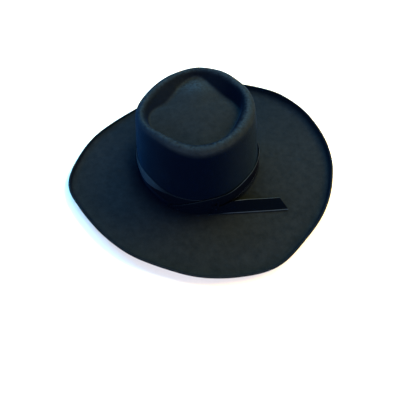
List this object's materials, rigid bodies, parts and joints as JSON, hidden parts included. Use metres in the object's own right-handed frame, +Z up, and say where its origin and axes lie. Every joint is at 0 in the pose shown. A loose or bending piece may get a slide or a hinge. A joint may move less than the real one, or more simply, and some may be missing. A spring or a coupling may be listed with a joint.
{
  "type": "wide-brimmed felt hat",
  "caption": "Black wool felt hat with a telescoped diamond crown, a wide brim with a turned-up edge, and a ribbon band whose loose tail lies on the brim.",
  "frame": {"origin": "on the plane that the brim rests on, in the middle of the hat's outline seen from above", "axes": "+Z up through the crown, -X towards the front of the hat, -Y towards the wearer's left"},
  "size_m": [0.4204, 0.3848, 0.1281],
  "materials": {
    "felt": "matte black wool felt",
    "ribbon": "black woven ribbon with a finer bright edge"
  },
  "bodies": {
    "root": {"felt_body": "felt", "ribbon_band": "ribbon", "ribbon_wrap": "ribbon", "ribbon_tail": "ribbon"}
  },
  "joints": []
}
